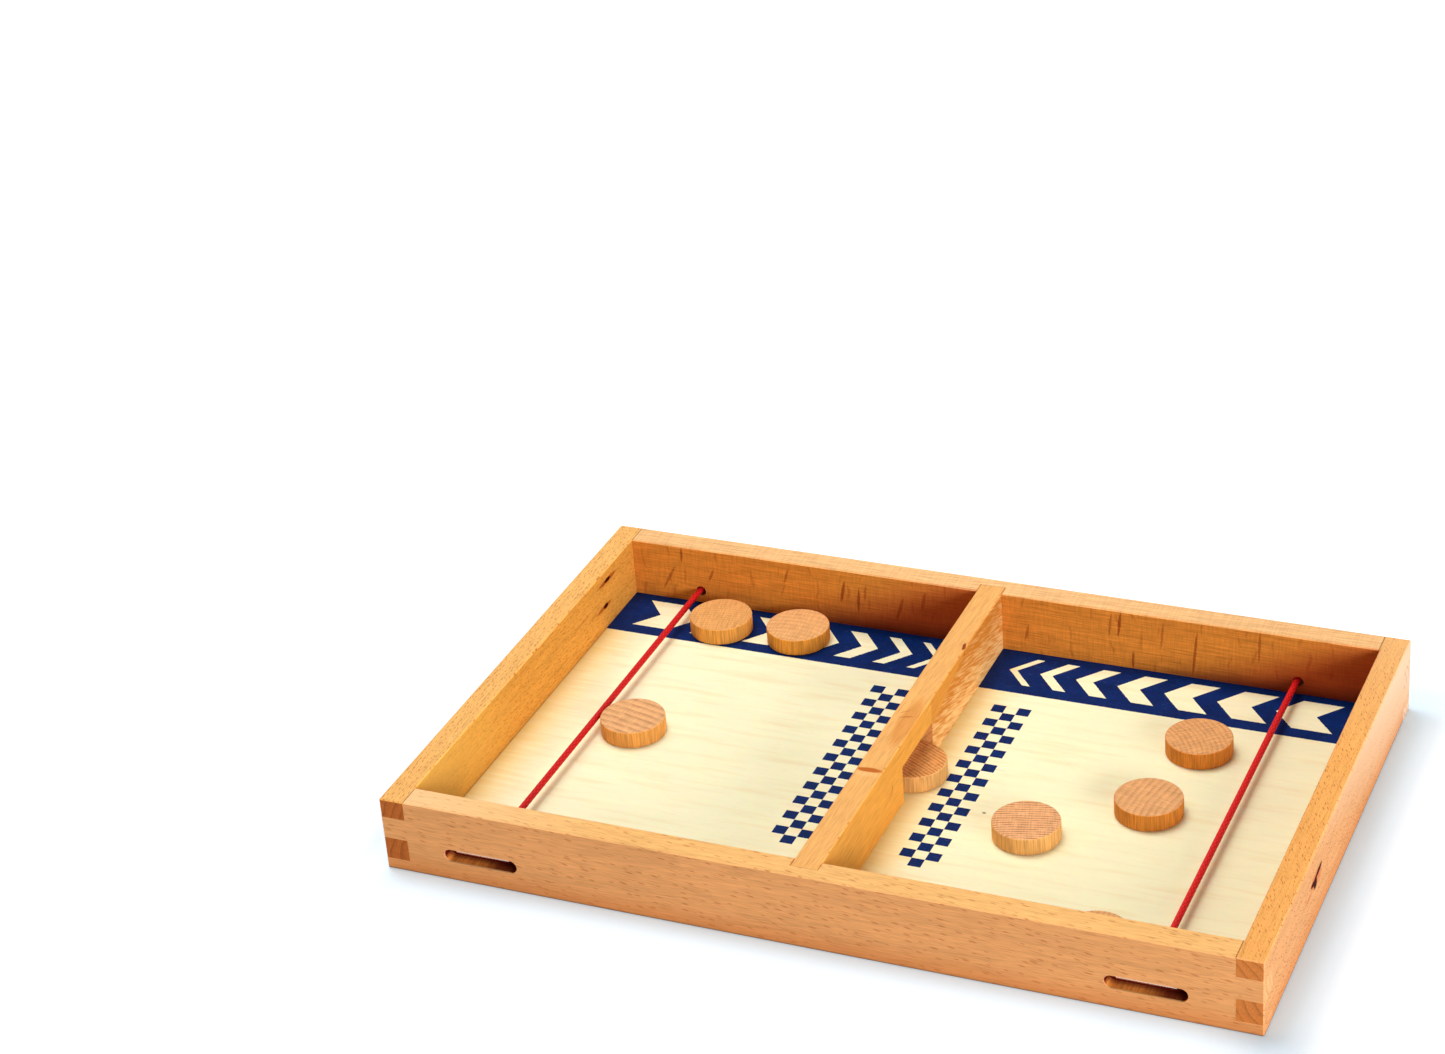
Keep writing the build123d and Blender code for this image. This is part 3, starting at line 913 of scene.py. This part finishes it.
class PUCKGAME_OT_bars(bpy.types.Operator):
    """Give the metal bars in the slots their nickel plate"""

    bl_idname = "puckgame.bars"
    bl_label = "Bars"

    def execute(self, context):
        # Nickel plate on steel wire: a warm white metal, clearly mirroring, with a fine unevenness in its gloss
        material, add = new_material("nickel_plated_steel")
        drawn = add("TexNoise", add("TexCoord", out="Object"), named={"Scale": 2500.0, "Detail": 2.0})
        bump = add("Bump", named={"Strength": 0.15, "Distance": 0.01 * MM, "Height": drawn})
        add("OutputMaterial", add("BsdfPrincipled", named={
            "Base Color": rgba(linear("#F4E6E0")), "Metallic": 1.0,
            "Roughness": add("MapRange", drawn, *MOST, 0.22, 0.36), "Normal": bump,
        }))
        for side, end in CORNERS:
            give(frame["nodes"][f"barb_{side}_{end}"], material)
        return {"FINISHED"}


def white_laminate(studio):
    """Matt white laminate: blue close to the game, which is painted shade, and plain white farther off. Where the
    camera sees it, it glows a little, so that it stays white and keeps the game's shadow; the glow is weaker close to
    the game, dipping a little way from it, and weaker still by the right end, which is painted shade too."""
    material, add = new_material("white_laminate")
    camera_ray = add("LightPath", out="Is Camera Ray")
    place = add("TexCoord", out="Object")
    beyond = add("VectorMath", place, operation="ABSOLUTE")
    beyond = add("VectorMath", beyond, (*CAD_BOX[HIGH][:2], 0), operation="SUBTRACT")
    beyond = add("VectorMath", beyond, (0, 0, 0), operation="MAXIMUM")
    away = add("VectorMath", beyond, out="Value", operation="LENGTH")
    # Painted shade: the table blue close to the game
    tone = stained(add, studio.table_shade_tint, linear("#FFFFFF"), add("MapRange", away, 0.004, 0.025))
    matt = add("BsdfDiffuse", stained(add, linear("#EEEEEE"), tone, camera_ray))
    # Painted shade: less glow close to the game and by its right end
    painted_shade_by_right_end = add("MapRange", add("SeparateXYZ", place), 0.11, 0.14, 1.0, 0.3)
    lift = add("MapRange", away, 0.004, 0.01, studio.table_lift, 0.55 * studio.table_lift)
    lift = add("Math", painted_shade_by_right_end, lift, operation="MULTIPLY")
    lift = add("Math", lift, add("MapRange", away, 0.01, 0.3))
    lift = add("Math", lift, camera_ray, operation="MULTIPLY")
    add("OutputMaterial", add("AddShader", matt, add("Emission", rgba(linear("#FFFFFF")), lift)))
    return material


class PUCKGAME_OT_studio(bpy.types.Operator):
    """Set out the white table, the soft light and the camera"""

    bl_idname = "puckgame.studio"
    bl_label = "Studio"

    def execute(self, context):
        studio = context.scene.puckgame_studio
        corners, reach = 64, 3.0
        angle = np.linspace(0, 2 * math.pi, corners, endpoint=False)
        rim = reach * np.stack([np.cos(angle), np.sin(angle), np.zeros(corners)], -1)
        mesh = bpy.data.meshes.new("white_table")
        mesh.from_pydata(rim.tolist(), [], [list(range(corners))])
        mesh.materials.append(white_laminate(studio))
        new_object("white_table", mesh)

        world = context.scene.world = bpy.data.worlds.new("studio_air")
        world.use_nodes = True
        add = nodes_of(world.node_tree)
        paths = add("LightPath").node.outputs
        direct = paths["Is Camera Ray"]
        for kind in ("Is Glossy Ray", "Is Transmission Ray"):
            direct = add("Math", direct, paths[kind], operation="MAXIMUM")
        strength = add("MapRange", direct, 0.0, 1.0, studio.ambient, 1.0)
        add("OutputWorld", add("Background", stained(add, studio.air, linear("#FFFFFF"), direct), strength))

        for name, power, size, place in (
            ("overhead_softbox", studio.softbox, (0.6, 0.6), (-0.2, 0.2, 1.25)),
            ("right_fill", studio.side_fill, (1.1, 0.45), (1.2, -0.75, 0.41)),
            ("left_panel", studio.left_panel, (0.8, 0.8), (-0.75, 0.25, 1.15)),
        ):
            lamp = bpy.data.lights.new(name, "AREA")
            lamp.shape = "RECTANGLE"
            lamp.size, lamp.size_y = size
            lamp.energy = power
            aim = (-Vector(place)).to_track_quat("-Z", "Y").to_matrix().to_4x4()
            new_object(name, lamp).matrix_world = Matrix.Translation(place) @ aim

        # From looking straight down: tilted up to its height angle, turned round the game and drawn back
        aim = Matrix.Translation((-0.11575, 0.13125, 0.0))
        turn = (
            Matrix.Rotation(studio.azimuth, 4, "Z") @ Matrix.Rotation(math.pi / 2 - studio.elevation, 4, "X")
            @ Matrix.Rotation(studio.roll, 4, "Z")
        )
        lens = bpy.data.cameras.new("photo_camera")
        lens.lens = studio.lens
        lens.sensor_width = 36.0
        lens.clip_start, lens.clip_end = 0.01, 50.0
        camera = new_object("photo_camera", lens)
        camera.matrix_world = aim @ turn @ Matrix.Translation((0, 0, studio.distance))
        context.scene.camera = camera
        context.scene.view_settings.view_transform = "Standard"
        return {"FINISHED"}


class PUCKGAME_PT_sidebar(bpy.types.Panel):
    """The sizes, colours and steps of the puck game"""

    bl_idname = "PUCKGAME_PT_sidebar"
    bl_label = "Sling puck game"
    bl_space_type = "VIEW_3D"
    bl_region_type = "UI"
    bl_category = "Puck Game"

    def draw(self, context):
        for name, (group, step) in GROUPS.items():
            box = self.layout.box()
            for setting in group.__annotations__:
                box.prop(getattr(context.scene, name), setting)
            box.operator(step)
        self.layout.operator("puckgame.bars")


GROUPS = {
    "puckgame_timber": (FrameTimber, "puckgame.frame_timber"),
    "puckgame_print": (PrintedFloor, "puckgame.printed_floor"),
    "puckgame_turning": (PuckTurning, "puckgame.pucks"),
    "puckgame_braid": (ElasticBraid, "puckgame.elastics"),
    "puckgame_studio": (StudioSetup, "puckgame.studio"),
}
CLASSES = (
    *[group for group, _ in GROUPS.values()],
    PUCKGAME_OT_frame_timber,
    PUCKGAME_OT_printed_floor,
    PUCKGAME_OT_pucks,
    PUCKGAME_OT_elastics,
    PUCKGAME_OT_bars,
    PUCKGAME_OT_studio,
    PUCKGAME_PT_sidebar,
)


def register():
    """Add the classes and hang the settings on the scene."""
    for part in CLASSES:
        bpy.utils.register_class(part)
    for name, (group, _) in GROUPS.items():
        setattr(bpy.types.Scene, name, PointerProperty(type=group))


def unregister():
    """Take the settings and the classes away again."""
    for name in GROUPS:
        delattr(bpy.types.Scene, name)
    for part in reversed(CLASSES):
        bpy.utils.unregister_class(part)


def main():
    """Dress the game in order."""
    register()
    bpy.ops.puckgame.studio()
    bpy.ops.puckgame.frame_timber()
    bpy.ops.puckgame.printed_floor()
    bpy.ops.puckgame.pucks()
    bpy.ops.puckgame.elastics()
    bpy.ops.puckgame.bars()


if __name__ == "__main__":
    main()
